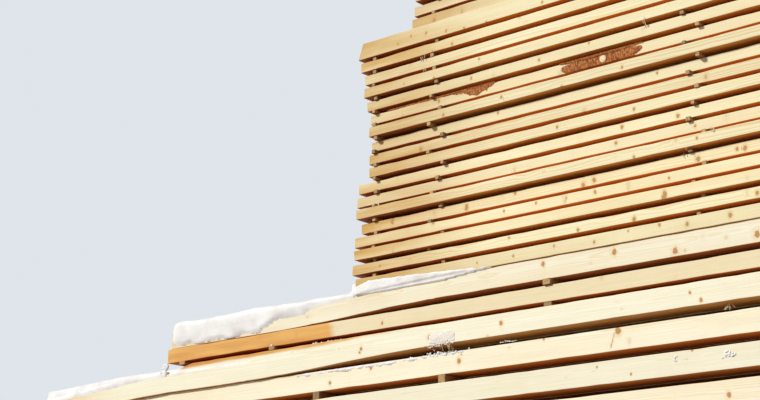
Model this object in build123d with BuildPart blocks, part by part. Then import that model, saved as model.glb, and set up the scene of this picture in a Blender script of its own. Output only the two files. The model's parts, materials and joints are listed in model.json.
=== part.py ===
from build123d import *
from functools import partial
import math
import os

# A tall hand-built stack of sawn lumber, in millimetres, +Z up. X runs along the
# lumber, the long face that is seen looks to -Y, and the origin is on the ground
# under the middle of the long beams. From the ground up it has bearers, long
# beams, shorter beams, and three lots of boards. Sticks laid across the layers
# keep them apart, so that air gets between.

# Sawn sections, and how many pieces lie side by side in a layer
board_height = 50
board_width = 195
board_count = 6
beam_height = 100
beam_width = 140
beam_count = 8
thin_beam_height = 75
first_board_height = 60
thick_board_height = 85
board_gap = 10
stack_depth = board_count * board_width + (board_count - 1) * board_gap

# Lengths as such lumber is sold
long_beam_length = 7200
beam_length = 6000
board_length = 4500
top_board_length = 4200

# How far each lot's left end stands in from the left end of the long beams
beam_inset = 1207
lower_board_inset = 2510
upper_board_inset = 2565
top_board_inset = 2873

# Sticks between the layers
stick_height = 20
stick_width = 22
stick_overhang = 4
beam_stick_height = 40
upper_beam_stick_height = 30
beam_stick_width = 42
beam_stick_overhang = 14
stick_end_room = 15
short_stick_gap = 6

# Bearers on the ground
bearer_height = 100
bearer_width = 100
bearer_count = 5
bearer_inset = 350

# The pieces of a layer are never quite flush at their ends, nor cut quite square
end_scatter = 14
end_skew = 4
thick_board_skew = 31

# A board from the outside of a tapering log keeps some of the log's round:
# the wane starts part of the way along and widens towards the thin end
log_radius = 150
log_taper = 0.006
wane_start = 0.4

# Where a log was crooked, the saw left its outside on the face of one board
bark_middle = 3925
bark_length = 440
bark_depth = 12

# Front beams that sag to the left, where the gap under them has no stick: where
# the bend starts and ends, measured from the left end of the long beams
long_sag_start = 3150
long_sag_end = 1600
tip_sag_start = 1250
tip_sag_end = 150
beam_sag_start = 3150
beam_sag_end = 1850
sag_clearance = 0.3

left_end = -long_beam_length / 2
front_face = -stack_depth / 2

# Rows of sticks, measured from the left end of the long beams, and how far the
# sticks of each row may have slipped along the lumber
long_beam_places = [300, 1400, 2250, 3030, 4850, 5900, 6900]
long_beam_slips = [14, 14, 14, 8, 25, 25, 14]
beam_places = [1300, 1953, 3632, 4900, 6000, 7050]
beam_slips = [14, 6, 6, 20, 20, 14]
board_places = [2625, 3005, 4405, 5715, 6990]
board_slips = [8, 45, 35, 35, 10]
long_beam_rows = list(zip(long_beam_places, long_beam_slips))
beam_rows = list(zip(beam_places, beam_slips))
board_rows = list(zip(board_places, board_slips))

# The layers of each lot from the bottom up: height, sticks under it, how far its
# front piece stands out of the long face, and how far in that piece's end is
beam_outs = [0, 15, -10, 20, 5, -15, 10, 0, 15, 20, 0, 18]
beam_ins = [0, 20, -8, 12, -15, 5, 30, -5, 10, -12, 15, 0]
long_beam_layers = [(beam_height, beam_stick_height, out, inward)
                    for out, inward in zip(beam_outs, beam_ins)]
long_beam_layers[0] = (beam_height, 0, 0, 0)

beam_layers = [(thin_beam_height, stick_height, 8, -25), (beam_height, upper_beam_stick_height, 5, 0)]

lower_outs = [14, 15, 32, 11, -10, 21, -11, -18]
lower_ins = [5, -12, 8, -3, 21, 11, -6, -6]
lower_board_layers = [(board_height, stick_height, out, inward)
                      for out, inward in zip(lower_outs, lower_ins)]
lower_board_layers[0] = (first_board_height, 0, lower_outs[0], lower_ins[0])

upper_outs = [0, -10, -28, 7, -18, -6, 12, 3, 11]
upper_ins = [23, 17, 16, 29, 19, 3, 2, -4, -21]
upper_board_layers = [(board_height, stick_height, out, inward)
                      for out, inward in zip(upper_outs, upper_ins)]
upper_board_layers.append((thick_board_height, stick_height, 14, -7))

top_outs = [6, -8, 10, 0, -5]
top_ins = [0, 6, 20, -9, 4]
top_board_layers = [(board_height, stick_height, out, inward)
                    for out, inward in zip(top_outs, top_ins)]
top_board_layers[0] = (board_height, 0, top_outs[0], top_ins[0])


def scatter(layer, place, spread):
    # Small shifts that don't repeat from one layer to the next
    return spread * math.sin(2.4 * place + 1.7 * layer + 0.5 * place * layer)


def saw_straight(left, length, front, base, width, height, skew):
    # Seen from the side, both ends lean by the same skew
    with BuildPart() as piece:
        with BuildSketch(Plane.XZ.offset(-front)):
            with BuildLine():
                Polyline((left - skew, base), (left + length - skew, base),
                         (left + length, base + height), (left, base + height), close=True)
            make_face()
        extrude(amount=-width)
    return piece.part


def saw_waney(left, length, front, base, width, height, skew):
    # The log's heart lies so deep under the top face that the two top corners
    # just meet the log's surface where the wane starts
    heart = base + height - math.sqrt(log_radius ** 2 - (width / 2) ** 2)
    start, reach = left - 2 * end_skew, length + 4 * end_skew
    thick_end = log_radius + log_taper * wane_start * length
    with BuildPart() as piece:
        add(saw_straight(left, length, front, base, width, height, skew))
        with Locations(Location((start, front + width / 2, heart), (0, 90, 0))):
            Cone(thick_end, thick_end - log_taper * reach, reach,
                 align=(Align.CENTER, Align.CENTER, Align.MIN), mode=Mode.INTERSECT)
    return piece.part


def saw_barky(left, length, front, base, width, height, skew):
    # The log's outside shows as a long shallow hollow in the front face
    hollow = bark_length ** 2 / (8 * bark_depth) + bark_depth / 2
    with BuildPart() as piece:
        add(saw_straight(left, length, front, base, width, height, skew))
        with Locations((left_end + bark_middle, front + bark_depth - hollow, base + height / 2)):
            Cylinder(hollow, height, mode=Mode.SUBTRACT)
    return piece.part


def saw_sagging(left, length, front, base, width, height, skew, dips):
    # The section follows a run that is level but for its dips. A dip is two equal
    # arcs, one down and one back to level, from its start on the right.
    right, middle = left + length, base + height / 2
    section = Plane((right, front + width / 2, middle), x_dir=(0, 1, 0), z_dir=(-1, 0, 0))
    with BuildPart() as piece:
        with BuildLine(Plane.XZ.offset(-front - width / 2)):
            run_from, level = right, middle
            for dip_start, dip_end, drop in dips:
                dip_left, dip_right = left_end + dip_end, left_end + dip_start
                half = (dip_right - dip_left) / 2
                turn = 2 * math.atan(drop / 2 / half)
                radius = half / math.sin(turn)
                Line((run_from, level), (dip_right, level))
                JernArc((dip_right, level), (-1, 0), radius, math.degrees(turn))
                JernArc((dip_right - half, level - drop / 2),
                        (-math.cos(turn), -math.sin(turn)), radius, -math.degrees(turn))
                run_from, level = dip_left, level - drop
            Line((run_from, level), (left, level))
        with BuildSketch(section):
            Rectangle(width, height)
        sweep()
    return piece.part


def lay_layer(name, layer, left, length, base, section, sizes, special):
    # Pieces side by side, the front one out of the long face by its own amount
    width, count = section
    height, _, out, inward = sizes
    clear = (stack_depth + out - count * width) / (count - 1)
    sawn = []
    for place in range(count):
        saw = special.get((layer, place), saw_straight)
        shift = scatter(layer, place, end_scatter) if place else inward
        skew = scatter(place, layer, end_skew)
        if height == thick_board_height and place == 0:
            skew = thick_board_skew
        front = front_face - out + place * (width + clear)
        sawn.append(saw(left + shift, length, front, base, width, height, skew))
    with BuildPart() as pieces:
        add(sawn)
    pieces.part.label = name
    export_step(pieces.part, f"parts/{name}.step")


def saw_stick(along, front, back, base, width, height):
    with BuildPart() as stick:
        with BuildSketch(Plane.XZ.offset(-front)):
            with Locations((along, base + height / 2)):
                Rectangle(width, height)
        extrude(amount=front - back)
    return stick.part


def lay_sticks(name, gaps, rows, size, piece_width):
    # One row of sticks across the stack in each gap, slipped a little by hand.
    # Where the front beam over a gap sags into it, the stick stops behind it.
    width, overhang = size
    sawn = []
    for level, (base, height, sag_start) in enumerate(gaps):
        for row, (along, spread) in enumerate(rows):
            slip = scatter(row, level, spread)
            reach = overhang + scatter(level, row, overhang / 2)
            front, back = front_face - reach, front_face + stack_depth + 2 * overhang - reach
            if along < sag_start:
                front = front_face + piece_width + short_stick_gap
            sawn.append(saw_stick(left_end + along + slip, front, back, base, width, height))
    with BuildPart() as sticks:
        add(sawn)
    sticks.part.label = name
    export_step(sticks.part, f"parts/{name}.step")


def lay_lot(name, base, inset, length, section, layers, rows, stick_size, special={}, sags={}):
    # The layers of one lot from the bottom up, each on its sticks or, where it
    # has none, straight on the layer below. Gives back the height of its top.
    gaps = []
    for layer, sizes in enumerate(layers):
        height, gap = sizes[:2]
        if gap:
            gaps.append((base, gap, sags.get(layer, 0)))
        base += gap
        layer_name = f"{name}_layer_{layer + 1}"
        lay_layer(layer_name, layer, left_end + inset, length, base, section, sizes, special)
        base += height
    room = stick_size[0] / 2 + end_scatter + stick_end_room
    carried = [(along, slip) for along, slip in rows if inset + room < along < inset + length - room]
    lay_sticks(f"{name}_sticks", gaps, carried, stick_size, section[0])
    return base


os.makedirs("parts", exist_ok=True)

with BuildPart() as bearers:
    with BuildSketch():
        bearer_pitch = (long_beam_length - 2 * bearer_inset) / (bearer_count - 1)
        with GridLocations(bearer_pitch, 1, bearer_count, 1):
            Rectangle(bearer_width, stack_depth + 2 * beam_stick_overhang)
    extrude(amount=bearer_height)
bearers.part.label = "ground_bearers"
export_step(bearers.part, "parts/ground_bearers.step")

board_section = (board_width, board_count)
beam_section = (beam_width, beam_count)
board_sticks = (stick_width, stick_overhang)
beam_sticks = (beam_stick_width, beam_stick_overhang)

# The two front beams on top of the long ones sag: the upper one twice
last = len(long_beam_layers) - 1
long_sag_depth = beam_stick_height - sag_clearance
tip_sag = (tip_sag_start, tip_sag_end, long_sag_depth)
long_sag = (long_sag_start, long_sag_end, long_sag_depth)
top = lay_lot("long_beam", bearer_height, 0, long_beam_length, beam_section,
              long_beam_layers, long_beam_rows, beam_sticks,
              special={(last, 0): partial(saw_sagging, dips=[long_sag, tip_sag]),
                       (last - 1, 0): partial(saw_sagging, dips=[tip_sag])},
              sags={last: long_sag_start, last - 1: tip_sag_start})

beam_sag = (beam_sag_start, beam_sag_end, upper_beam_stick_height - sag_clearance)
top = lay_lot("beam", top, beam_inset, beam_length, beam_section,
              beam_layers, beam_rows, beam_sticks,
              special={(1, 0): partial(saw_sagging, dips=[beam_sag])}, sags={1: beam_sag_start})

# Special boards: the layer in its lot, and the place from the front
top = lay_lot("lower_board", top, lower_board_inset, board_length, board_section,
              lower_board_layers, board_rows, board_sticks,
              special={(2, 5): saw_waney, (6, 3): saw_waney})

top = lay_lot("upper_board", top, upper_board_inset, board_length, board_section,
              upper_board_layers, board_rows, board_sticks,
              special={(3, 2): saw_waney, (4, 0): saw_barky, (8, 5): saw_waney})

lay_lot("top_board", top, top_board_inset, top_board_length, board_section,
        top_board_layers, board_rows, board_sticks,
        special={(4, 2): saw_waney, (4, 4): saw_waney})
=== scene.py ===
import bmesh
import bpy
import json
import math
import random
from mathutils import Matrix, Vector, noise
from mathutils.bvhtree import BVHTree


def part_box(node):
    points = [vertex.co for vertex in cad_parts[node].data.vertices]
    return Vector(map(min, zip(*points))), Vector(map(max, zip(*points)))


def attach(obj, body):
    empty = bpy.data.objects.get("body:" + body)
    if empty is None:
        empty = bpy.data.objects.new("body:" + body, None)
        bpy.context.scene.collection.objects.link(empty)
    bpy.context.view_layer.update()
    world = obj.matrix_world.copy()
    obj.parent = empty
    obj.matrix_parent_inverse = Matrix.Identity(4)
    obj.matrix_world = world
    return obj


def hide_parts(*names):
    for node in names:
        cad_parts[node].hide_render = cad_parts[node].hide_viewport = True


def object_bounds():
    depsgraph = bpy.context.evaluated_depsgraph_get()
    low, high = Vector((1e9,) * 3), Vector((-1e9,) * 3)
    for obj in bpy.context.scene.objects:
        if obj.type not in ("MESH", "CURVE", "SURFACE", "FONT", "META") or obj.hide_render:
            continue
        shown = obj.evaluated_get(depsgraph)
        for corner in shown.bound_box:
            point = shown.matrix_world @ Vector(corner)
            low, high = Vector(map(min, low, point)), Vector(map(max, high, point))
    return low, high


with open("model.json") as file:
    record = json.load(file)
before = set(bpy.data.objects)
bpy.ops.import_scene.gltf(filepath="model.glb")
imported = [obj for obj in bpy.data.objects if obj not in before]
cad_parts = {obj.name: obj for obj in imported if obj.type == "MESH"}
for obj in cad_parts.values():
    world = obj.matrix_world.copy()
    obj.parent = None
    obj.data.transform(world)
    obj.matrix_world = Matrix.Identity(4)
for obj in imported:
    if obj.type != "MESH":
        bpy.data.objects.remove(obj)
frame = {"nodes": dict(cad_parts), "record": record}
cadBox = [list(corner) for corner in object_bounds()]
collection = bpy.context.scene.collection
mm = 0.001


def linear(hexColour):
    # a colour as written in sRGB hex, turned to the linear values that a node takes
    values = [int(hexColour[i:i + 2], 16) / 255 for i in (1, 3, 5)]
    return [v / 12.92 if v <= 0.04045 else ((v + 0.055) / 1.055) ** 2.4 for v in values] + [1]


def addNode(tree, kind, inputs={}, **settings):
    # inputs go by order or by label, and each is a value, a hex colour, a socket or a node's first output
    node = tree.nodes.new("ShaderNode" + kind)
    for name, value in settings.items():
        setattr(node, name, value)
    for key, value in inputs.items() if isinstance(inputs, dict) else enumerate(inputs):
        byName = [s for s in node.inputs if s.name == key and s.enabled]
        socket = node.inputs[key] if isinstance(key, int) else byName[0]
        if isinstance(value, bpy.types.Node):
            value = [s for s in value.outputs if s.enabled][0]
        if isinstance(value, str):
            value = linear(value)
        if isinstance(value, bpy.types.NodeSocket):
            tree.links.new(value, socket)
        else:
            socket.default_value = value
    return node


def wave(*place):
    # a smooth random value between -1 and 1, the same at the same place
    return noise.noise(Vector(place))


def meshOf(bm, name):
    mesh = bpy.data.meshes.new(name)
    bm.to_mesh(mesh)
    bm.free()
    return mesh


def addObject(name, data):
    added = bpy.data.objects.new(name, data)
    collection.objects.link(added)
    return added


def emptyTree(holder):
    # the cleared node tree of a material or of the world
    holder.use_nodes = True
    holder.node_tree.nodes.clear()
    return holder.node_tree


# camera: it stands low near the right end and looks up along the long face

photo = {"width": 760, "height": 400, "focalPixels": 1600, "sensor": 36}
cameraPlace = {"stand": (3.9, -6.429, 0.25), "heading": 39.756, "pitch": 15.908}


def placeCamera():
    lens = bpy.data.cameras.new("photoCamera")
    lens.sensor_width = photo["sensor"]
    lens.lens = photo["sensor"] * photo["focalPixels"] / photo["width"]
    camera = addObject("photoCamera", lens)
    camera.location = cameraPlace["stand"]
    upward, turned = 90 + cameraPlace["pitch"], cameraPlace["heading"]
    camera.rotation_euler = (math.radians(upward), 0, math.radians(turned))
    bpy.context.scene.camera = camera


placeCamera()
print("camera placed")


# stage: a pale floor, an even pale world, a soft key from the upper left of the long face and a weak
# lamp behind, so that the far side can be read too

stageLook = {"floor": "#E9E8E4", "floorBounce": "#857E74", "floorRough": 0.9, "floorSize": 80,
             "backdrop": "#DFE5EA", "fill": "#F3F4F6", "fillStrength": 0.34}
lamps = {"keyLight": {"colour": "#FFFFFF", "strength": 3.4, "softness": 8, "goes": (0.42, 0.68, -0.52)},
         "backLight": {"colour": "#F6F8FF", "strength": 1.4, "softness": 25, "goes": (-0.55, -0.80, -0.25)}}


def seenByCamera(tree):
    # one for what the camera sees, straight or in a mirror or glass, and zero for what lights the stack
    ray = addNode(tree, "LightPath")
    seen = ray.outputs["Is Camera Ray"]
    for kind in ("Is Glossy Ray", "Is Transmission Ray"):
        seen = addNode(tree, "Math", [seen, ray.outputs[kind]], operation="MAXIMUM")
    return seen


def paleFloor():
    # pale where the camera sees it, but it throws little light back up into the gaps
    material = bpy.data.materials.new("paleFloor")
    tree = emptyTree(material)
    colour = addNode(tree, "Mix", {"Factor": seenByCamera(tree), "A": stageLook["floorBounce"],
                                   "B": stageLook["floor"]}, data_type="RGBA")
    shader = addNode(tree, "BsdfPrincipled", {"Base Color": colour, "Roughness": stageLook["floorRough"]})
    addNode(tree, "OutputMaterial", {"Surface": shader})
    return material


def paleWorld():
    # even light on the stack, and a pale backdrop that only the camera sees
    world = bpy.data.worlds.new("paleWorld")
    tree = emptyTree(world)
    light = addNode(tree, "Background", {"Color": stageLook["fill"], "Strength": stageLook["fillStrength"]})
    backdrop = addNode(tree, "Background", {"Color": stageLook["backdrop"], "Strength": 1})
    mixed = addNode(tree, "MixShader", [seenByCamera(tree), light, backdrop])
    addNode(tree, "OutputWorld", {"Surface": mixed})
    return world


def buildStage():
    bm = bmesh.new()
    bmesh.ops.create_grid(bm, x_segments=1, y_segments=1, size=stageLook["floorSize"] / 2)
    floor = addObject("floor", meshOf(bm, "floor"))
    floor.data.materials.append(paleFloor())

    bpy.context.scene.world = paleWorld()
    for name, look in lamps.items():
        lamp = bpy.data.lights.new(name, "SUN")
        lamp.color = linear(look["colour"])[:3]
        lamp.energy = look["strength"]
        lamp.angle = math.radians(look["softness"])
        addObject(name, lamp).rotation_euler = Vector(look["goes"]).to_track_quat("-Z", "Y").to_euler()


buildStage()
bpy.context.scene.view_settings.view_transform = "Standard"
print("stage built")


# sawn spruce: pale soft wood straight from a frame saw, dull, with darker late wood in each ring,
# ochre knots where branches grew from the pith, and fine saw marks across the length

# late wood starts and is darkest at two shares of a ring; an end or a level face is told by its direction;
# the ends are tanned over a run of metres, and the painted shade on the level faces in the gaps is redder
# there
spruce = {"ring": 3.2 * mm, "lateWood": (0.35, 0.86), "lateEnd": 0.1, "pithWander": 9 * mm,
          "fibre": 2.2 * mm, "fibreLength": 400 * mm, "fibreShade": (0.9, 1.03), "fibreEdge": (0.3, 0.7),
          "sawMark": 9 * mm, "sawDepth": 0.5 * mm, "fibreRelief": 0.6, "checkRelief": -3,
          "checks": 22, "checkWidth": 0.05, "endGrain": 0.75, "endFace": 0.7, "levelFace": (0.6, 0.85),
          "endFade": 0.9, "endTan": 1.15, "gapShadeEnd": "#D0802E"}
# how often a pattern changes in a metre, where three numbers are along the grain and twice across it
perMetre = {"wander": (0.9, 2, 2), "streak": (1.6, 14, 14), "sawMarkAcross": 12, "checkBend": 30,
            "knotEdge": 90}
# knots: their pitch along the pith, how widely they are set round it, their radius as a share of the pitch,
# how wide a marked one is for its height and over how many radii it rules, how many rings a knot pushes
# aside, how strong its glow of resin is, and how faint and strong the others are, between what chances
branches = {"pitch": 105 * mm, "spread": 0.8, "size": 0.1, "markWidth": 0.8, "markReach": 3, "pushes": 2.2,
            "glow": 0.4, "faintest": 0.15, "strongest": 0.95, "chance": (0.15, 0.9)}
# where each part of a knot starts and where it is full, in radii of the knot
knotBands = {"knot": (1.15, 0.6), "heart": (1, 0.5), "halo": (2.5, 0.8)}
# boards and beams are fresh from the saw and pale, and damp has turned one layer orange; the sticks are used
# laths, browner and unlike each other, and the bearers are old dull timbers; both have their grain along Y
# each wood's colour for the level faces inside the stack is painted shade and warm bounce light in the gaps
woods = {
    "sawnSpruceBoard": {"early": "#FCF5CC", "late": "#E8C47A", "warm": "#CB9A44", "knot": "#C08E4E",
                        "knotRim": "#94683A", "end": "#D9B37C", "gapShade": "#F2AC56", "rough": 0.78},
    "sawnSpruceBeam": {"early": "#FCF8E0", "late": "#EFDCA6", "warm": "#E4B46E", "knot": "#BE8A4C",
                       "knotRim": "#8E6034", "end": "#D6B07A", "gapShade": "#DDA060", "rough": 0.78},
    "dampSpruce": {"early": "#F3E4BC", "late": "#E8CC92", "warm": "#E2AA60", "knot": "#A86A30",
                   "knotRim": "#7A4C22", "end": "#C48E4C", "gapShade": "#C8823E", "rough": 0.7},
    "lathWood": {"early": "#DCBC82", "late": "#BD9058", "warm": "#A87040", "knot": "#8A5A30",
                 "knotRim": "#5E3C20", "end": "#D2B076", "gapShade": "#C88442", "rough": 0.85,
                 "across": True, "bright": (0.5, 1)},
    "bearerWood": {"early": "#BFA682", "late": "#9C7C58", "warm": "#8E6A48", "knot": "#5E3C22",
                   "knotRim": "#40281A", "end": "#988060", "gapShade": "#7A5438", "rough": 0.85,
                   "across": True},
}
# damp: where in its streaks it starts and is full, and how strongly they vary it
damp = {"colour": "#F3BC62", "dark": "#CF8836", "starts": 0.9, "full": 1.3, "streaky": 1.2,
        "contrast": 3, "darkFrom": 1}

# what the points of a piece tell its wood: where its pith is, its tone as brightness, warmth and damp, the
# nearest marked knot and its radius, how far the end is, whether the layer above leaves it open, and how
# strong the other knots are
attributeKinds = {"pith": "FLOAT_VECTOR", "tone": "FLOAT_VECTOR", "knotAt": "FLOAT_VECTOR",
                  "knotSize": "FLOAT", "fromEnd": "FLOAT", "open": "FLOAT", "branchy": "FLOAT"}


def turnGrain(tree, vector):
    # in wood that lies across the stack the grain runs along Y, so X and Y change places
    split = addNode(tree, "SeparateXYZ", [vector])
    return addNode(tree, "CombineXYZ", [split.outputs[1], split.outputs[0], split.outputs[2]])


def fromCrookedPith(tree, place, pith):
    # the pith isn't straight, so the rings come out at the faces as long tongues
    fromPith = addNode(tree, "VectorMath", [place, pith], operation="SUBTRACT")
    slow = addNode(tree, "Mapping", {"Vector": fromPith, "Scale": perMetre["wander"]})
    wander = addNode(tree, "TexNoise", {"Vector": slow, "Scale": 1, "Detail": 2})
    centred = addNode(tree, "VectorMath", [wander.outputs["Color"], (0.5, 0.5, 0.5)], operation="SUBTRACT")
    wide = 2 * spruce["pithWander"]
    return addNode(tree, "VectorMath", [centred, (0, wide, wide), fromPith], operation="MULTIPLY_ADD")


def growKnots(tree, parts, flat, place, said):
    # branches run out from the pith as cones, so a knot is found by its place along it and round it
    spread = branches["spread"]
    outward = addNode(tree, "VectorMath", [flat], operation="NORMALIZE")
    around = addNode(tree, "VectorMath", [outward, (0, spread, spread)], operation="MULTIPLY")
    alongPith = addNode(tree, "Math", [parts.outputs[0], 1 / branches["pitch"]], operation="MULTIPLY")
    lengthwise = addNode(tree, "CombineXYZ", [alongPith])
    branchPlace = addNode(tree, "VectorMath", [around, lengthwise], operation="ADD")
    cell = addNode(tree, "TexVoronoi", {"Vector": branchPlace, "Scale": 1})
    grown = addNode(tree, "Math", [cell.outputs["Distance"], 1 / branches["size"]], operation="MULTIPLY")

    # a marked knot is an upright oval at a place of its own
    toMark = addNode(tree, "VectorMath", [place, said["knotAt"]], operation="SUBTRACT")
    oval = addNode(tree, "VectorMath", [toMark, (1, 1, branches["markWidth"])], operation="MULTIPLY")
    fromMark = addNode(tree, "VectorMath", [oval], operation="LENGTH").outputs["Value"]
    edge = addNode(tree, "TexNoise", {"Vector": place, "Scale": perMetre["knotEdge"], "Detail": 1})
    uneven = addNode(tree, "Math", [edge, 0.5], operation="ADD")
    fromMark = addNode(tree, "Math", [fromMark, uneven], operation="MULTIPLY")
    markSize = addNode(tree, "Math", [said["knotSize"], 0.01 * mm], operation="MAXIMUM")
    marked = addNode(tree, "Math", [fromMark, markSize], operation="DIVIDE")
    nearest = addNode(tree, "Math", [grown, marked], operation="MINIMUM")
    bands = {}
    for band, (starts, full) in knotBands.items():
        bands[band] = addNode(tree, "MapRange", {"Value": nearest, "From Min": starts, "From Max": full},
                              interpolation_type="SMOOTHSTEP")

    # some of the others are much fainter
    starts, full = branches["chance"]
    chance = addNode(tree, "SeparateXYZ", [cell.outputs["Color"]])
    faint = addNode(tree, "MapRange", {"Value": chance.outputs[0], "From Min": starts, "From Max": full,
                                       "To Min": branches["faintest"], "To Max": branches["strongest"]})
    faint = addNode(tree, "Math", [faint, said["branchy"]], operation="MULTIPLY")
    isMark = addNode(tree, "Math", [marked, branches["markReach"]], operation="LESS_THAN")
    return bands, addNode(tree, "Math", [faint, isMark], operation="MAXIMUM")


def growRings(tree, flat, halo):
    # rings, bent round the knots, each darkening slowly to its late wood
    radius = addNode(tree, "VectorMath", [flat], operation="LENGTH").outputs["Value"]
    rings = addNode(tree, "Math", [radius, 1 / spruce["ring"]], operation="MULTIPLY")
    rings = addNode(tree, "Math", [halo, branches["pushes"], rings], operation="MULTIPLY_ADD")
    season = addNode(tree, "Math", [rings], operation="FRACT")
    late = addNode(tree, "ValToRGB", [season])
    ramp, dull = late.color_ramp.elements, spruce["lateEnd"]
    ramp[0].position, ramp[1].position = spruce["lateWood"]
    ramp[0].color, ramp[1].color = (0, 0, 0, 1), (1, 1, 1, 1)
    ramp.new(1).color = (dull, dull, dull, 1)
    return late.outputs["Color"]


def crackEnds(tree, bent, parts, isEnd):
    # the ends dry with checks that run out from the pith
    angle = addNode(tree, "Math", [parts.outputs[2], parts.outputs[1]], operation="ARCTAN2")
    crooked = addNode(tree, "TexNoise", {"Vector": bent, "Scale": perMetre["checkBend"], "Detail": 3})
    turned = addNode(tree, "Math", [angle, spruce["checks"] / (2 * math.pi), crooked],
                     operation="MULTIPLY_ADD")
    folded = addNode(tree, "Math", [turned, 1], operation="PINGPONG")
    check = addNode(tree, "MapRange", {"Value": folded, "From Min": spruce["checkWidth"], "From Max": 0})
    return addNode(tree, "Math", [check, isEnd], operation="MULTIPLY")


def soakWood(tree, colour, streak, amount):
    # damp soaks in from one end in long uneven streaks
    soaked = addNode(tree, "Math", [streak, damp["streaky"], amount], operation="MULTIPLY_ADD")
    wet = addNode(tree, "MapRange", {"Value": soaked, "From Min": damp["starts"], "From Max": damp["full"]},
                  interpolation_type="SMOOTHSTEP")
    uneven = addNode(tree, "Math", [streak, damp["contrast"], -damp["darkFrom"]], operation="MULTIPLY_ADD")
    wetColour = addNode(tree, "Mix", {"Factor": uneven, "A": damp["colour"], "B": damp["dark"]},
                        data_type="RGBA")
    return addNode(tree, "Mix", {"Factor": wet, "A": colour, "B": wetColour}, data_type="RGBA")


def paintGapShade(tree, look, colour, sides, openAbove, endTan):
    # level faces inside the stack, under the layer above, are painted darker and orange-brown: painted shade
    # and warm bounce light in the gaps
    starts, full = spruce["levelFace"]
    level = addNode(tree, "Math", [sides.outputs[2]], operation="ABSOLUTE")
    level = addNode(tree, "MapRange", {"Value": level, "From Min": starts, "From Max": full})
    upward = addNode(tree, "Math", [sides.outputs[2], 0], operation="GREATER_THAN")
    openAir = addNode(tree, "Math", [upward, openAbove], operation="MULTIPLY")
    covered = addNode(tree, "Math", [1, openAir], operation="SUBTRACT")
    covered = addNode(tree, "Math", [covered, level], operation="MULTIPLY")
    gapShadeColour = addNode(tree, "Mix", {"Factor": endTan, "A": look["gapShade"], "B": spruce["gapShadeEnd"]},
                      data_type="RGBA")
    return addNode(tree, "Mix", {"Factor": covered, "A": colour, "B": gapShadeColour}, data_type="RGBA",
                   blend_type="MULTIPLY")


def paintEnds(tree, look, colour, lateShare, bright, isEnd):
    # end grain drinks in damp and dirt
    endColour = addNode(tree, "Mix", {"Factor": lateShare, "A": look["end"], "B": look["warm"]},
                        data_type="RGBA")
    endColour = addNode(tree, "VectorMath", {0: endColour, "Scale": bright}, operation="SCALE")
    share = addNode(tree, "Math", [isEnd, spruce["endGrain"]], operation="MULTIPLY")
    return addNode(tree, "Mix", {"Factor": share, "A": colour, "B": endColour}, data_type="RGBA")


def paintKnots(tree, look, colour, bands, strength, isEnd):
    # ochre hearts, darker rims and a warm glow of resin round them
    notEnd = addNode(tree, "Math", [1, isEnd], operation="SUBTRACT")
    strength = addNode(tree, "Math", [strength, notEnd], operation="MULTIPLY")
    knotColour = addNode(tree, "Mix", {"Factor": bands["heart"], "A": look["knotRim"], "B": look["knot"]},
                         data_type="RGBA")
    glow = addNode(tree, "Math", [bands["halo"], strength], operation="MULTIPLY")
    glow = addNode(tree, "Math", [glow, branches["glow"]], operation="MULTIPLY")
    colour = addNode(tree, "Mix", {"Factor": glow, "A": colour, "B": look["warm"]}, data_type="RGBA")
    share = addNode(tree, "Math", [bands["knot"], strength], operation="MULTIPLY")
    return addNode(tree, "Mix", {"Factor": share, "A": colour, "B": knotColour}, data_type="RGBA")


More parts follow.
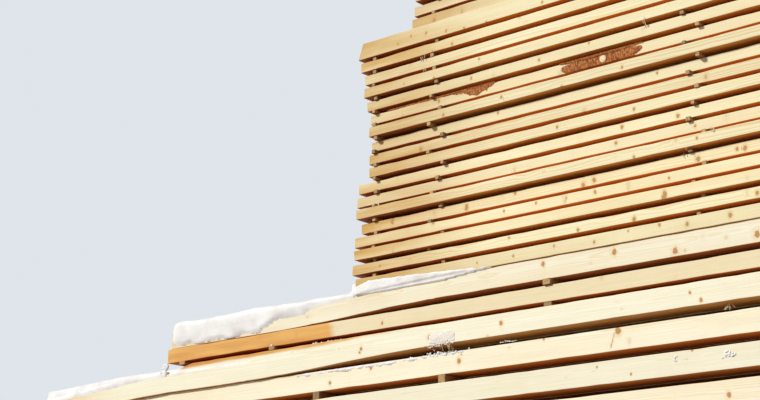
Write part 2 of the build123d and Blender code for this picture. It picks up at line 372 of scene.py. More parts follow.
def sawnWood(name):
    look = woods[name]
    material = bpy.data.materials.new(name)
    tree = emptyTree(material)
    coordinate = addNode(tree, "TexCoord")
    place, normal = coordinate.outputs["Object"], coordinate.outputs["Normal"]
    said = {}
    for attribute, kind in attributeKinds.items():
        told = addNode(tree, "Attribute", attribute_name=attribute)
        said[attribute] = told.outputs["Vector" if kind == "FLOAT_VECTOR" else "Fac"]
    grainPlace = place
    if look.get("across"):
        grainPlace, normal = turnGrain(tree, place), turnGrain(tree, normal)
    bent = fromCrookedPith(tree, grainPlace, said["pith"])
    parts = addNode(tree, "SeparateXYZ", [bent])
    flat = addNode(tree, "CombineXYZ", {1: parts.outputs[1], 2: parts.outputs[2]})
    tone = addNode(tree, "SeparateXYZ", [said["tone"]])
    sides = addNode(tree, "SeparateXYZ", [normal])
    facing = addNode(tree, "Math", [sides.outputs[0]], operation="ABSOLUTE")
    isEnd = addNode(tree, "Math", [facing, spruce["endFace"]], operation="GREATER_THAN")
    bands, strength = growKnots(tree, parts, flat, place, said)
    late = growRings(tree, flat, bands["halo"])
    check = crackEnds(tree, bent, parts, isEnd)

    # fibres, and slow stains along them that spread the late wood and the warmth unevenly
    fine = 1 / spruce["fibre"]
    thin = addNode(tree, "Mapping", {"Vector": bent, "Scale": (1 / spruce["fibreLength"], fine, fine)})
    fibre = addNode(tree, "TexNoise", {"Vector": thin, "Scale": 1, "Detail": 3})
    broad = addNode(tree, "Mapping", {"Vector": bent, "Scale": perMetre["streak"]})
    streak = addNode(tree, "TexNoise", {"Vector": broad, "Scale": 1, "Detail": 4})
    lateShare = addNode(tree, "Math", [late, streak], operation="MULTIPLY")
    colour = addNode(tree, "Mix", {"Factor": lateShare, "A": look["early"], "B": look["late"]},
                     data_type="RGBA")
    endTan = addNode(tree, "MapRange", {"Value": said["fromEnd"], "From Max": spruce["endFade"],
                                        "To Min": spruce["endTan"], "To Max": 0},
                     interpolation_type="SMOOTHSTEP")
    warmth = addNode(tree, "Math", [endTan, tone.outputs[1]], operation="ADD")
    warmth = addNode(tree, "Math", [warmth, streak], operation="MULTIPLY")
    colour = addNode(tree, "Mix", {"Factor": warmth, "A": colour, "B": look["warm"]}, data_type="RGBA")
    colour = soakWood(tree, colour, streak, tone.outputs[2])
    (starts, full), (darkest, lightest) = spruce["fibreEdge"], spruce["fibreShade"]
    fibreShade = addNode(tree, "MapRange", {"Value": fibre, "From Min": starts, "From Max": full,
                                            "To Min": darkest, "To Max": lightest})
    shade = addNode(tree, "Math", [fibreShade, tone.outputs[0]], operation="MULTIPLY")
    colour = addNode(tree, "VectorMath", {0: colour, "Scale": shade}, operation="SCALE")
    # painted shade on the level faces inside the stack
    colour = paintGapShade(tree, look, colour, sides, said["open"], endTan)
    colour = paintEnds(tree, look, colour, lateShare, tone.outputs[0], isEnd)
    colour = paintKnots(tree, look, colour, bands, strength, isEnd)
    colour = addNode(tree, "Mix", {"Factor": check, "A": colour, "B": look["knotRim"]}, data_type="RGBA")

    # relief: saw marks across the length, fibres and checks
    across = perMetre["sawMarkAcross"]
    cut = addNode(tree, "Mapping", {"Vector": bent, "Scale": (1 / spruce["sawMark"], across, across)})
    saw = addNode(tree, "TexNoise", {"Vector": cut, "Scale": 1, "Detail": 1})
    relief = addNode(tree, "Math", [fibre, spruce["fibreRelief"], saw], operation="MULTIPLY_ADD")
    relief = addNode(tree, "Math", [check, spruce["checkRelief"], relief], operation="MULTIPLY_ADD")
    bump = addNode(tree, "Bump", {"Strength": 1, "Distance": spruce["sawDepth"], "Height": relief})
    shader = addNode(tree, "BsdfPrincipled", {"Base Color": colour, "Roughness": look["rough"],
                                              "Normal": bump})
    addNode(tree, "OutputMaterial", {"Surface": shader})
    return material


materials = {name: sawnWood(name) for name in woods}
print("woods made")


# places: a few things are set where the photograph shows them, by its pixels, on the wood that lies there

slots = {part["node"]: part["material_slot"] for part in frame["record"]["subparts"]}
layers = [node for node in sorted(frame["nodes"]) if "_layer_" in node]


def treeOf(node):
    mesh = frame["nodes"][node].data
    return BVHTree.FromPolygons([v.co for v in mesh.vertices], [p.vertices[:] for p in mesh.polygons])


trees = {node: treeOf(node) for node in layers}
boxes = {node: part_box(node) for node in layers}


def onWood(pixelX, pixelY):
    # the layer that the photograph shows at a pixel, and the point of its front face
    camera = bpy.context.scene.camera
    ahead = Vector((pixelX - photo["width"] / 2, photo["height"] / 2 - pixelY, -photo["focalPixels"]))
    direction = (camera.rotation_euler.to_matrix() @ ahead).normalized()
    found = []
    for node, tree in trees.items():
        place, _, _, distance = tree.ray_cast(camera.location, direction)
        if place:
            found.append((distance, node, place))
    return min(found)[1:] if found else (None, None)


# knots that the photograph shows, as pixel across, pixel down and radius in millimetres
knotsInPhoto = [
    (426, 33, 6), (446, 31, 6), (411, 36, 5), (398, 44, 5), (452, 44, 6), (464, 28, 5), (486, 22, 5),
    (432, 51, 4), (434, 78, 6), (404, 84, 4), (439, 101, 7), (471, 78, 6), (443, 115, 6), (501, 97, 6),
    (539, 60, 6), (479, 59, 5), (589, 43, 5), (622, 67, 6), (562, 87, 6), (634, 109, 6), (557, 127, 6),
    (498, 113, 5), (657, 73, 5), (622, 127, 8), (678, 116, 8), (616, 143, 7), (695, 126, 6), (697, 138, 5),
    (634, 157, 6), (745, 148, 9), (737, 149, 7), (698, 159, 10), (669, 178, 5), (595, 192, 7),
    (663, 197, 8), (757, 193, 8), (594, 180, 9), (568, 207, 7), (634, 219, 9), (578, 230, 7), (659, 225, 6),
    (687, 224, 8), (594, 242, 6), (628, 231, 4), (614, 252, 12), (675, 251, 12), (757, 234, 13),
    (543, 264, 9), (538, 282, 9), (690, 293, 6), (701, 300, 7), (618, 331, 14), (612, 346, 7),
    (692, 350, 5), (631, 374, 5), (729, 395, 10), (361, 349, 8), (429, 337, 9), (501, 323, 9),
    (371, 368, 8), (459, 361, 11), (382, 323, 7), (544, 339, 6), (300, 345, 6), (257, 332, 9),
    (330, 383, 8), (478, 92, 10), (515, 193, 7), (466, 209, 7), (504, 211, 5), (536, 203, 5), (566, 198, 6),
    (509, 238, 5), (513, 256, 5), (554, 246, 5), (393, 219, 7), (433, 222, 9), (380, 266, 5), (477, 263, 4),
    (730, 215, 9), (506, 102, 5), (542, 2, 6), (583, 185, 9), (597, 367, 4),
]
marks = {node: [] for node in layers}
for pixelX, pixelY, radius in knotsInPhoto:
    node, place = onWood(pixelX, pixelY)
    if node:
        marks[node].append((place, radius * mm))


# pieces: each copies its layer of the frame, so it lies where that layer lies

sawing = {"ease": 2.5 * mm, "cut": 60 * mm, "coarse": 1500 * mm, "crook": 2.5 * mm, "bow": 0.6 * mm,
          "wear": 4.4 * mm, "uneven": 0.5 * mm, "sharpAngle": 40, "flatAngle": 0.4, "merge": 0.05 * mm,
          "cutPoints": 5}
# how often each of these changes in a metre, along the piece, round it and up its faces
weathering = {"crook": 0.55, "chip": (9, 3), "uneven": (6, 20)}
# how far the pith may lie to the side of a piece and above or below it, and how far its pattern may slide
pithPlace = {"side": 0.11, "depth": 0.09, "along": 50}
tones = {"bright": (0.93, 1.03), "warm": (0, 0.42), "ochreEdgeTone": 0.8, "besideMarks": 0.35}
# one layer is soaked up to where the photograph shows it at this pixel, over a run of metres
soaking = {"layer": "beam_layer_1", "pixel": (333, 332), "fade": 0.16}
# the points within so many radii of a marked knot are told its place, and cuts each side bound them
marking = {"reach": 2.6, "margin": 4 * mm}
nextLayer = 70 * mm  # how far up at most the next layer starts


def keepInside(bm):
    # nothing leaves the box of the frame
    for vert in bm.verts:
        for i in range(3):
            vert.co[i] = min(max(vert.co[i], cadBox[0][i]), cadBox[1][i])


def splitNode(node):
    # the solids of a node, each as a bmesh of its own, from the front of the stack to the back
    whole = bmesh.new()
    whole.from_mesh(frame["nodes"][node].data)
    bmesh.ops.remove_doubles(whole, verts=whole.verts, dist=sawing["merge"])
    bmesh.ops.dissolve_limit(whole, angle_limit=math.radians(sawing["flatAngle"]), verts=whole.verts,
                             edges=whole.edges)
    whole.verts.index_update()
    groups, seen = [], set()
    for first in whole.verts:
        if first.index in seen:
            continue
        group, rim = {first.index}, [first]
        while rim:
            for link in rim.pop().link_edges:
                for other in link.verts:
                    if other.index not in group:
                        group.add(other.index)
                        rim.append(other)
        seen |= group
        groups.append(group)
    pieces = []
    for group in groups:
        piece = whole.copy()
        bmesh.ops.delete(piece, geom=[v for v in piece.verts if v.index not in group], context="VERTS")
        pieces.append(piece)
    whole.free()
    return sorted(pieces, key=lambda piece: [round(value, 3) for value in limits(piece)[0].yzx])


def limits(piece):
    low = Vector([min(v.co[i] for v in piece.verts) for i in range(3)])
    high = Vector([max(v.co[i] for v in piece.verts) for i in range(3)])
    return low, high


def easeEdges(piece, width):
    # a saw leaves square edges, which handling takes off a little
    least = math.radians(sawing["sharpAngle"])
    sharp = [e for e in piece.edges if len(e.link_faces) == 2 and e.calc_face_angle() > least]
    bmesh.ops.bevel(piece, geom=sharp, offset=width, affect="EDGES", segments=2, profile=0.5, material=-1,
                    clamp_overlap=True)


def cutAt(piece, place, direction):
    bmesh.ops.bisect_plane(piece, geom=piece.verts[:] + piece.edges[:] + piece.faces[:], plane_co=place,
                           plane_no=direction, dist=0.01 * mm)


def cutAcross(piece, axis, step, marked):
    # regular cuts, and two each side of a marked knot, so that its mark stays on its own faces
    low, high = limits(piece)
    count = max(1, round((high[axis] - low[axis]) / step))
    cuts = [low[axis] + (high[axis] - low[axis]) * i / count for i in range(1, count)]
    for place, radius in marked:
        near = marking["reach"] * radius
        for reach in (near, near + marking["margin"]):
            cuts += [place[axis] - reach, place[axis] + reach]
    direction = Vector([float(i == axis) for i in range(3)])
    for cut in sorted(cuts):
        cutAt(piece, direction * cut, direction)


def weather(piece, axis, seed):
    # long bends, worn edges and uneven faces, all within a few millimetres
    low, high = limits(piece)
    across, up = 1 - axis, 2
    spans = {}
    for vert in piece.verts:
        spans.setdefault(round(vert.co[axis], 4), []).append(vert.co[up])
    for vert in piece.verts:
        along = vert.co[axis]
        heights = spans[round(along, 4)]
        # a whole cut tells its own bottom and top, because a beam may sag
        bottom, top = low[up], high[up]
        if len(heights) > sawing["cutPoints"]:
            bottom, top = min(heights), max(heights)
        sideNear = min(vert.co[across] - low[across], high[across] - vert.co[across])
        upNear = min(vert.co[up] - bottom, top - vert.co[up])
        onEdge = max(0, 1 - (sideNear + upNear) / (3 * sawing["ease"]))
        run, turn = weathering["chip"]
        chipped = wave(along * run, seed, vert.co.z * turn + vert.co.y * turn)
        chip = max(0, chipped) * onEdge * sawing["wear"]
        slow = along * weathering["crook"]
        run, rise = weathering["uneven"]
        move = Vector((0, 0, 0))
        move[across] = math.copysign(chip, low[across] + high[across] - 2 * vert.co[across])
        move[across] += wave(slow, seed, 0) * sawing["crook"]
        move[across] += wave(along * run, seed, vert.co.z * rise) * sawing["uneven"]
        move[up] = math.copysign(chip, bottom + top - 2 * vert.co[up])
        move[up] += wave(slow, seed + 7, 0) * sawing["bow"]
        vert.co += move


# the front beam on top of the long ones has its upper edge raised level over the part that sags, and is
# painted ochre along it: from where to where, over what runs it fades, and down to what height
ochreEdge = {"layer": "long_beam_layer_12", "from": -2.36, "to": -0.55, "fade": 0.12, "paleRun": 0.6,
        "down": 1.703, "band": 14 * mm, "edge": 8 * mm}


def raiseOchreEdge(piece):
    low, high = limits(piece)
    for vert in piece.verts:
        above = Vector((vert.co.x, (low.y + high.y) / 2, high.z + 0.1))
        place = trees[ochreEdge["layer"]].ray_cast(above, Vector((0, 0, -1)))[0]
        share = min(1, max(0, (vert.co.x - ochreEdge["from"]) / ochreEdge["fade"]))
        if place and place.z - vert.co.z < ochreEdge["edge"] and vert.co.x < ochreEdge["to"]:
            vert.co.z += (high.z - place.z) * share
    cutAt(piece, Vector((0, 0, ochreEdge["down"])), Vector((0, 0, 1)))


def ochreEdgeShare(place):
    # how ochre the beam is at a place
    ends = min((place.x - ochreEdge["from"]) / ochreEdge["fade"], (ochreEdge["to"] - place.x) / ochreEdge["paleRun"], 1)
    return max(0, ends) * min(1, max(0, (place.z - ochreEdge["down"]) / ochreEdge["band"]))


def coveredSpan(node):
    # from where to where the next layer up covers this one
    top = boxes[node][1].z
    for low, high in boxes.values():
        if 0 <= low.z - top < nextLayer:
            return low.x, high.x
    return None


def showPiece(bm, name, material):
    shown = addObject(name, meshOf(bm, name))
    shown.data.materials.append(materials[material])
    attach(shown, "root")
    return shown


def dress(node, wood):
    axis = 1 if woods[wood].get("across") else 0
    rng = random.Random(node)
    covered = coveredSpan(node) if node in layers else None
    soaked = onWood(*soaking["pixel"])[1].x if node == soaking["layer"] else None
    whole, values = bmesh.new(), {name: [] for name in attributeKinds}
    pieces = splitNode(node)
    for place, piece in enumerate(pieces):
        seed = rng.uniform(0, 100)
        low, high = limits(piece)
        marked = marks.get(node, []) if place == 0 else []
        outer = axis == 1 or place in (0, len(pieces) - 1) or covered is None
        ochreEdged = node == ochreEdge["layer"] and place == 0
        easeEdges(piece, sawing["ease"])
        cutAcross(piece, axis, sawing["cut"] if outer else sawing["coarse"], marked)
        if ochreEdged:
            raiseOchreEdge(piece)
        weather(piece, axis, seed)
        keepInside(piece)

        # the order of these draws decides every piece's looks
        middle = (low + high) / 2
        pith = [rng.uniform(-pithPlace["along"], pithPlace["along"]),
                middle[1 - axis] + rng.uniform(-1, 1) * pithPlace["side"],
                middle.z + rng.choice((-1, 1)) * rng.uniform(0.2, 1) * pithPlace["depth"]]
        bright = rng.uniform(*woods[wood].get("bright", tones["bright"]))
        warm = rng.uniform(*tones["warm"])
        for vert in piece.verts:
            near = [(abs(vert.co[axis] - spot[axis]), spot, size) for spot, size in marked]
            away, spot, size = min(near, key=lambda mark: mark[0]) if near else (1, (0, 0, 0), 0)
            reached = away < marking["reach"] * size + marking["margin"] / 2
            wet = 0 if soaked is None else min(1, max(0, 0.5 + (soaked - vert.co.x) / soaking["fade"]))
            openAbove = covered is None or not covered[0] < vert.co.x < covered[1]
            values["knotAt"].extend(spot)
            values["knotSize"].append(size if reached else 0)
            values["pith"].extend(pith)
            values["tone"].extend([bright, warm, tones["ochreEdgeTone"] * ochreEdgeShare(vert.co) if ochreEdged else wet])
            values["fromEnd"].append(min(vert.co[axis] - low[axis], high[axis] - vert.co[axis]))
            values["open"].append(float(openAbove))
            values["branchy"].append(tones["besideMarks"] if marked else 1)
        part = meshOf(piece, "part")
        whole.from_mesh(part)
        bpy.data.meshes.remove(part)
    shown = showPiece(whole, node + "_sawn", wood)
    for name, kind in attributeKinds.items():
        attribute = shown.data.attributes.new(name, kind, "POINT")
        attribute.data.foreach_set("vector" if kind == "FLOAT_VECTOR" else "value", values[name])
    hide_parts(node)


woodOf = {"sawn_board": "sawnSpruceBoard", "sawn_beam": "sawnSpruceBeam", "damp_beam": "dampSpruce",
          "stick": "lathWood", "bearer": "bearerWood"}
for node in sorted(frame["nodes"]):
    dress(node, woodOf[slots[node]])
print("layers dressed")


# snow: it lies on the open tops of the beams, rounded, and hangs over their front edge

# the hollow colour is painted shade in the low places of the snow's relief
snowLook = {"colour": "#EDEAE6", "hollow": "#DAD4D0", "rough": 0.6, "grain": 3 * mm, "relief": 1.2 * mm,
            "lumpsPerMetre": 9, "lumpRelief": 4, "hollowEdge": (0.3, 0.55), "glow": 0.25}


def wetSnow():
    # old snow is dull, and the low places of its lumpy relief are painted a little darker, as painted shade
    # in its hollows
    material = bpy.data.materials.new("wetSnow")
    tree = emptyTree(material)
    place = addNode(tree, "TexCoord").outputs["Object"]
    lumps = addNode(tree, "TexNoise", {"Vector": place, "Scale": snowLook["lumpsPerMetre"], "Detail": 5})
    grains = addNode(tree, "TexNoise", {"Vector": place, "Scale": 1 / snowLook["grain"], "Detail": 2})
    starts, full = snowLook["hollowEdge"]
    share = addNode(tree, "MapRange", {"Value": lumps, "From Min": starts, "From Max": full})
    colour = addNode(tree, "Mix", {"Factor": share, "A": snowLook["hollow"], "B": snowLook["colour"]},
                     data_type="RGBA")
    relief = addNode(tree, "Math", [lumps, snowLook["lumpRelief"], grains], operation="MULTIPLY_ADD")
    bump = addNode(tree, "Bump", {"Strength": 0.7, "Distance": snowLook["relief"], "Height": relief})
    shader = addNode(tree, "BsdfPrincipled", {"Base Color": colour, "Roughness": snowLook["rough"],
                                              "Subsurface Weight": snowLook["glow"],
                                              "Subsurface Radius": (0.02, 0.022, 0.025), "Normal": bump})
    addNode(tree, "OutputMaterial", {"Surface": shader})
    return material


# spruce bark is thin and flaky, with the inner bark showing, hoar frost is so thin that the wood's colour
# comes through, and torn or freshly cut wood is bare and fibrous; a patch has a width and a height
patchy = {
    "looseBark": {"dark": "#702E0E", "light": "#C4803C", "patch": (5 * mm, 16 * mm), "rough": 0.9},
    "hoarFrost": {"dark": "#E6DAC6", "light": "#F0EAE2", "patch": (12 * mm, 8 * mm), "rough": 0.8},
    "tornWood": {"dark": "#DDB987", "light": "#F6EACB", "patch": (6 * mm, 6 * mm), "rough": 0.8},
}
patchShape = {"edge": (0.38, 0.62), "twist": 0.6, "relief": 1.5 * mm}


def mottled(name):
    # two natural colours in patches
    look = patchy[name]
    wide, tall = look["patch"]
    material = bpy.data.materials.new(name)
    tree = emptyTree(material)
    place = addNode(tree, "TexCoord").outputs["Object"]
    drawn = addNode(tree, "Mapping", {"Vector": place, "Scale": (1 / wide, 1 / tall, 1 / tall)})
    patches = addNode(tree, "TexNoise", {"Vector": drawn, "Scale": 1, "Detail": 3,
                                         "Distortion": patchShape["twist"]})
    starts, full = patchShape["edge"]
    share = addNode(tree, "MapRange", {"Value": patches, "From Min": starts, "From Max": full})
    colour = addNode(tree, "Mix", {"Factor": share, "A": look["dark"], "B": look["light"]},
                     data_type="RGBA")
    bump = addNode(tree, "Bump", {"Strength": 0.8, "Distance": patchShape["relief"], "Height": patches})
    shader = addNode(tree, "BsdfPrincipled", {"Base Color": colour, "Roughness": look["rough"],
                                              "Normal": bump})
    addNode(tree, "OutputMaterial", {"Surface": shader})
    return material


materials["wetSnow"] = wetSnow()
for name in patchy:
    materials[name] = mottled(name)


def finishPiece(bm, name, material):
    # a rounded piece that lies on the wood
    keepInside(bm)
    bmesh.ops.recalc_face_normals(bm, faces=bm.faces)
    for polygon in showPiece(bm, name, material).data.polygons:
        polygon.use_smooth = True


def between(points, at):
    # the value at a place between measured points
    if at <= points[0][0]:
        return points[0][1]
    for (start, first), (end, second) in zip(points, points[1:]):
        if at <= end:
            return first + (second - first) * (at - start) / (end - start)
    return points[-1][1]


def shell(alongCells, acrossCells):
    # a closed double sheet of cells, given back with the set of its upper points
    bm = bmesh.new()
    bmesh.ops.create_grid(bm, x_segments=alongCells, y_segments=acrossCells, size=0.5)
    grown = bmesh.ops.extrude_face_region(bm, geom=bm.faces[:], use_keep_orig=True)["geom"]
    return bm, {v for v in grown if isinstance(v, bmesh.types.BMVert)}


# the cells of the snow and how they crowd to the front, how far it sinks in and spans gaps, how it turns
# over the front edge and hangs, how far its ends lie from those of the wood and over what runs it gets thin
# there, and how often its surface, its lower edge and its crust change in a metre
snowShape = {"along": 12 * mm, "across": 14 * mm, "mostAcross": 70, "crowding": 0.7, "sunk": 2 * mm,
             "gap": 22 * mm, "inward": 0.04, "edge": 6 * mm, "shoulder": 0.03, "roundness": 20 * mm,
             "hang": 100 * mm, "lowest": 96 * mm, "tip": 12 * mm, "left": 18 * mm, "right": 4 * mm,
             "thins": {"left": 0.03, "right": 0.012, "back": 0.05}}
snowWaves = {"broad": (4, 6), "small": 14, "hang": 9, "drip": 40, "crust": (9, 14)}
# how thick the snow is and how far it hangs, in millimetres at places along the stack
longSnow = [(-3.6, 3), (-3.42, 4), (-3.2, 14), (-2.97, 22), (-2.48, 19), (-2.1, 11), (-1.85, 8), (-1.78, 3)]
mantles = {
    "snow_on_short_beams": {
        "node": "beam_layer_2", "from": "beam_layer_2", "to": "lower_board_layer_1", "deep": 1.2,
        "thick": [(-2.4, 36), (-2.3, 43), (-2.19, 37), (-2.04, 41), (-1.89, 37), (-1.76, 46), (-1.6, 34),
                  (-1.47, 30), (-1.26, 25), (-1.1, 15)],
        "hang": [(-2.4, 88), (-1.74, 92), (-1.69, 66), (-1.6, 38), (-1.5, 44), (-1.44, 46), (-1.38, 18),
                 (-1.08, 10)],
        "crust": 9 * mm, "rough": 5 * mm},
    "snow_on_long_beams": {
        "node": "long_beam_layer_12", "from": "long_beam_layer_12", "to": "beam_layer_1", "deep": 1.2,
        "thick": longSnow, "hang": [(-3.6, 26), (-2.9, 22), (-2.4, 14)], "crust": 7 * mm, "rough": 3 * mm},
    "snow_rim_on_long_beams": {
        "node": "long_beam_layer_12", "from": "beam_layer_1", "to": -1.78, "deep": 0.12, "thick": longSnow,
        "hang": [(-2.4, 14), (-1.8, 6)], "crust": 6 * mm, "rough": 2 * mm},
}


def woodTop(tree, x, y, top):
    # the height of the wood under a point, bridging the gaps between pieces and ends that aren't flush
    for inward in (0, snowShape["inward"]):
        heights = []
        for side in (-snowShape["gap"], 0, snowShape["gap"]):
            place = tree.ray_cast(Vector((x + inward, y + side, top + 0.2)), Vector((0, 0, -1)))[0]
            if place:
                heights.append(place.z)
        if heights:
            return max(heights)
    return top


def leftEnd(place):
    # a place along the stack, given as such or as the layer that starts there
    return boxes[place][0].x if isinstance(place, str) else place


def layMantle(name):
    look = mantles[name]
    low, high = boxes[look["node"]]
    left, right = leftEnd(look["from"]) + snowShape["left"], leftEnd(look["to"]) + snowShape["right"]
    front, tree, deep, thins = low.y, trees[look["node"]], look["deep"], snowShape["thins"]
    run = deep + snowShape["hang"]
    cellsAcross = min(round(run / snowShape["across"]), snowShape["mostAcross"])
    bm, above = shell(round((right - left) / snowShape["along"]), cellsAcross)
    for vert in bm.verts:
        # a point's path runs from the back to the front edge and then down, in cells that get shorter
        x = left + (right - left) * (vert.co.x + 0.5)
        path = run * (vert.co.y + 0.5) ** snowShape["crowding"]
        y = front + deep - min(path, deep)
        down = min(max(0, path - deep), snowShape["lowest"])
        height = woodTop(tree, x, max(y, front + snowShape["edge"]), high.z)
        turn = min(1, down / snowShape["roundness"])
        if not down:
            turn = 0.3 * max(0, 1 - (y - front) / snowShape["shoulder"])
        outward = Vector((0, -turn, 1 - turn)).normalized()
        (wide, inward), small = snowWaves["broad"], snowWaves["small"]
        full = between(look["thick"], x) * mm + wave(x * wide, y * inward, 5) * look["rough"]
        full += wave(x * small, y * small, 9) * look["rough"] * 0.6
        if down:
            hang = between(look["hang"], x) * mm
            hang *= 1 + 0.3 * wave(x * snowWaves["hang"], 3, 3) + 0.15 * wave(x * snowWaves["drip"], 3, 8)
            wide, tall = snowWaves["crust"]
            crust = look["crust"] * (1 + 0.9 * wave(x * wide, down * tall, 2))
            crust *= min(1, max(0, (hang - down) / snowShape["tip"]))
            full = crust + 0.6 * full * max(0, 1 - down / snowShape["roundness"])
        rim = min((x - left) / thins["left"], (right - x) / thins["right"] + 0.6,
                  (front + deep - y) / thins["back"], 1)
        full *= math.sqrt(max(0, rim))
        amount = full - snowShape["sunk"] if vert in above else -2 * snowShape["sunk"]
        vert.co = Vector((x, y, height - down)) + outward * amount
    finishPiece(bm, name, "wetSnow")


for name in mantles:
    layMantle(name)
print("snow laid")


# sheets: frost, thin snow and bark that lie on the long face, each between two heights that were measured
# at a few places along it, and all of them thinner towards their edges

sheetShape = {"cell": 6 * mm, "sideFade": 0.03, "edgeFade": 0.008, "sunk": 3 * mm, "leastSunk": 1.5 * mm,
              "lumpsPerMetre": 25, "grainsPerMetre": 90}
plainFront = -0.6  # where the front is taken to be if no wood lies behind a place
sheets = {
    "snow_drift_on_first_board": {
        "material": "wetSnow", "thick": 5 * mm, "rough": 0.8, "bridge": 22 * mm, "rightFade": 0.3,
        "low": [(-1.13, 1.938), (-1, 1.95), (-0.5, 1.964), (-0.27, 1.962)],
        "high": [(-1.13, 1.966), (-1.08, 1.992), (-1, 2.01), (-0.75, 2), (-0.5, 1.986), (-0.27, 1.968)]},
    "frost_over_gap": {
        "material": "hoarFrost", "thick": 1.2 * mm, "rough": 1.4, "bridge": 0,
        "low": [(-0.63, 1.674), (-0.605, 1.655), (-0.58, 1.664), (-0.555, 1.648), (-0.52, 1.653),
                (-0.48, 1.676)],
        "high": [(-0.63, 1.677), (-0.6, 1.692), (-0.575, 1.684), (-0.53, 1.702), (-0.505, 1.697),
                 (-0.48, 1.679)]},
    "frost_on_long_beam": {
        "material": "wetSnow", "thick": 5 * mm, "rough": 3.2, "bridge": 0,
        "low": [(-1.5, 1.584), (-0.9, 1.58), (-0.43, 1.588)], "high": [(-1.5, 1.6), (-0.43, 1.6)]},
    "bark_in_hollow": {
        "material": "looseBark", "thick": 7 * mm, "rough": 1.2, "bridge": 0,
        "low": [(0.12, 2.83), (0.16, 2.812), (0.5, 2.812), (0.56, 2.835)],
        "high": [(0.12, 2.85), (0.2, 2.866), (0.5, 2.866), (0.56, 2.85)]},
    "bark_on_edge": {
        "material": "looseBark", "thick": 2.5 * mm, "rough": 1.8, "bridge": 0,
        "low": [(-0.9, 2.863), (-0.5, 2.861), (-0.43, 2.852), (-0.39, 2.83), (-0.35, 2.822), (-0.325, 2.836),
                (-0.24, 2.862)],
        "high": [(-0.9, 2.868), (-0.24, 2.868)]},
}


def frontAt(x, z, bridge=0):
    # how far to the front the wood stands at a place of the long face, bridging small steps
    found = []
    for up in {-bridge, 0, bridge}:
        for node, (low, high) in boxes.items():
            if low.z - 1 * mm < z + up < high.z + 1 * mm:
                place = trees[node].ray_cast(Vector((x, -1, z + up)), Vector((0, 1, 0)))[0]
                if place and place.y < -0.5:
                    found.append(place.y)
    return min(found, default=plainFront)


def laySheet(name):
    look = sheets[name]
    sideFade, edgeFade = sheetShape["sideFade"], sheetShape["edgeFade"]
    lumps, grains = sheetShape["lumpsPerMetre"], sheetShape["grainsPerMetre"]
    rightFade = look.get("rightFade", sideFade)
    left, right = look["low"][0][0], look["low"][-1][0]
    lowest, highest = min(z for x, z in look["low"]), max(z for x, z in look["high"])
    wide, tall = right - left, highest - lowest
    bm, above = shell(round(wide / sheetShape["cell"]), round(tall / sheetShape["cell"] * 1.5))
    known = {}
    for vert in bm.verts:
        x, z = left + wide * (vert.co.x + 0.5), lowest + tall * (vert.co.y + 0.5)
        low, high = between(look["low"], x), between(look["high"], x)
        place = (round(x, 4), round(z, 4))
        if place not in known:
            known[place] = frontAt(x, z, look["bridge"] * min(1, (right - x) / rightFade))
        uneven = wave(x * lumps, z * lumps, 4) + 0.6 * wave(x * grains, z * grains, 8)
        inside = min((x - left) / sideFade, (right - x) / rightFade, (z - low) / edgeFade,
                     (high - z) / edgeFade, 1)
        full = look["thick"] * (inside + 0.5 * look["rough"] * uneven - 0.25)
        amount = max(full, -sheetShape["leastSunk"]) if vert in above else -sheetShape["sunk"]
        vert.co = Vector((x, known[place] - amount, z))
    finishPiece(bm, name, look["material"])


for name in sheets:
    laySheet(name)


# crumbs of frost and snow that cling to the front, each lot by its middle, its spread and its grain in mm

crumbs = [
    {"middle": (-0.57, 1.638), "spread": (0.08, 0.014), "count": 60, "size": (2, 4.5)},
    {"middle": (-0.6, 1.6), "spread": (0.12, 0.008), "count": 40, "size": (2, 6)},
    {"middle": (-1.31, 1.741), "spread": (0.13, 0.004), "count": 30, "size": (3, 8)},
    {"middle": (-1.647, 1.745), "spread": (0.008, 0.02), "count": 16, "size": (5, 9)},
    {"middle": (-2.45, 1.745), "spread": (0.012, 0.03), "count": 30, "size": (8, 14)},
    {"middle": (0.905, 1.42), "spread": (0.026, 0.012), "count": 26, "size": (3, 7)},
    {"middle": (0.66, 1.43), "spread": (0.016, 0.012), "count": 12, "size": (2, 5)},
    {"middle": (-0.198, 1.612), "spread": (0.06, 0.006), "count": 16, "size": (2, 4)},
]
# their shape as shares of their size, how uneven they are and how often that changes in a metre
crumbShape = {"wide": (0.8, 1.6), "deep": 0.4, "tall": (0.7, 1.1), "sunk": 0.2, "bridge": 10 * mm,
              "rough": 0.3, "roughPerMetre": 300}


def layCrumbs(name):
    rng = random.Random(name)
    bm = bmesh.new()
    for lot in crumbs:
        (midX, midZ), (wide, tall) = lot["middle"], lot["spread"]
        for i in range(lot["count"]):
            x, z = rng.gauss(midX, wide / 2), rng.gauss(midZ, tall / 2)
            size = rng.uniform(*lot["size"]) * mm
            middle = Vector((x, frontAt(x, z, crumbShape["bridge"]) - crumbShape["sunk"] * size, z))
            wider = rng.uniform(*crumbShape["wide"])
            squash = Vector((wider, crumbShape["deep"], rng.uniform(*crumbShape["tall"])))
            for vert in bmesh.ops.create_icosphere(bm, subdivisions=1, radius=size)["verts"]:
                spot = vert.co * crumbShape["roughPerMetre"] + Vector((i, 0, 0))
                rough = 1 + crumbShape["rough"] * noise.noise(spot)
                vert.co = vert.co * squash * rough + middle
    finishPiece(bm, name, "wetSnow")


layCrumbs("frost_crumbs")


# splinters: torn fibres that stand off the wood, each lot by its middle, spread, length in mm and lean

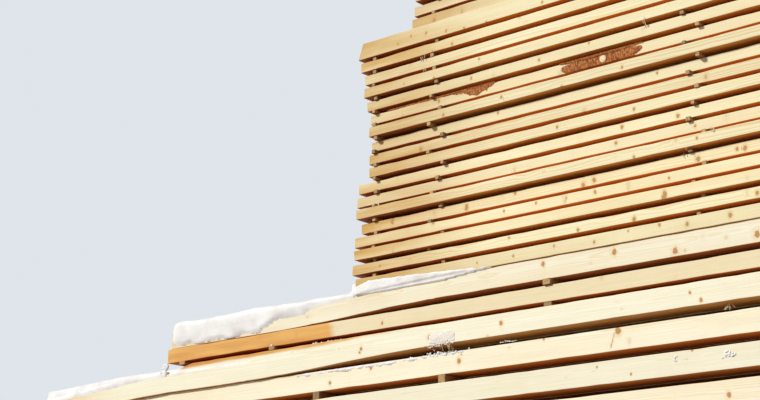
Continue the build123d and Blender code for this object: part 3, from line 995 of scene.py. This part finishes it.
splinters = [
    {"middle": (-0.52, 1.628), "spread": (0.03, 0.012), "count": 9, "length": (20, 48), "lean": 0.35},
    {"middle": (0.898, 1.622), "spread": (0.025, 0.006), "count": 8, "length": (15, 35), "lean": 0.4},
    {"middle": (-0.655, 3.083), "spread": (0.012, 0.01), "count": 4, "length": (15, 30), "lean": 0.3},
    {"middle": (-0.647, 3.017), "spread": (0.012, 0.01), "count": 4, "length": (12, 28), "lean": 0.3},
    {"middle": (-0.954, 2.389), "spread": (0.02, 0.006), "count": 7, "length": (12, 28), "lean": 0.25},
    {"middle": (0.585, 2.938), "spread": (0.008, 0.02), "count": 5, "length": (20, 40), "lean": 0.2},
    {"middle": (0.894, 2.379), "spread": (0.02, 0.01), "count": 5, "length": (12, 26), "lean": 0.5},
    {"middle": (0.747, 2.308), "spread": (0.02, 0.01), "count": 5, "length": (12, 26), "lean": 0.5},
    {"middle": (0.145, 2.838), "spread": (0.035, 0.014), "count": 16, "length": (8, 20), "lean": 0.8},
    {"middle": (0.5, 2.842), "spread": (0.05, 0.012), "count": 26, "length": (12, 30), "lean": 0.15},
    {"middle": (0.24, 2.838), "spread": (0.08, 0.012), "count": 18, "length": (8, 24), "lean": 0.3},
]
fibres = {"thick": 1.6 * mm, "tip": 0.4 * mm, "sunk": 1.5 * mm, "tilt": (0.05, 0.2), "bridge": 12 * mm}
branchStub = {"place": (0.347, 2.84), "radius": 18 * mm, "taper": 0.94, "out": 9 * mm, "ahead": 4 * mm,
              "ease": 1.2 * mm}


def layTornWood(name):
    # thin cones for the fibres, and the cut branch that is left in the bark
    rng = random.Random(name)
    bm = bmesh.new()
    for lot in splinters:
        (midX, midZ), (wide, tall) = lot["middle"], lot["spread"]
        for i in range(lot["count"]):
            x, z = rng.gauss(midX, wide / 2), rng.gauss(midZ, tall / 2)
            length = rng.uniform(*lot["length"]) * mm
            tilt = Matrix.Rotation(rng.uniform(*fibres["tilt"]), 4, "X")
            lean = Matrix.Rotation(rng.gauss(0, lot["lean"]), 4, "Y")
            move = Matrix.Translation((x, frontAt(x, z, fibres["bridge"]) - fibres["sunk"], z))
            bmesh.ops.create_cone(bm, cap_ends=True, segments=5, radius1=fibres["thick"],
                                  radius2=fibres["tip"], depth=length, matrix=move @ tilt @ lean)
    x, z = branchStub["place"]
    facing = Matrix.Rotation(math.radians(90), 4, "X")
    move = Matrix.Translation((x, frontAt(x, z) - branchStub["ahead"], z))
    rim = bmesh.ops.create_cone(bm, cap_ends=True, segments=32, radius1=branchStub["radius"],
                                radius2=branchStub["radius"] * branchStub["taper"], depth=branchStub["out"],
                                matrix=move @ facing)["verts"]
    edges = {e for v in rim for e in v.link_edges if e.calc_face_angle(0) > 1}
    bmesh.ops.bevel(bm, geom=list(edges), offset=branchStub["ease"], affect="EDGES", segments=2, profile=0.5,
                    material=-1)
    finishPiece(bm, name, "tornWood")


layTornWood("torn_wood")
print("frost, bark and splinters laid")
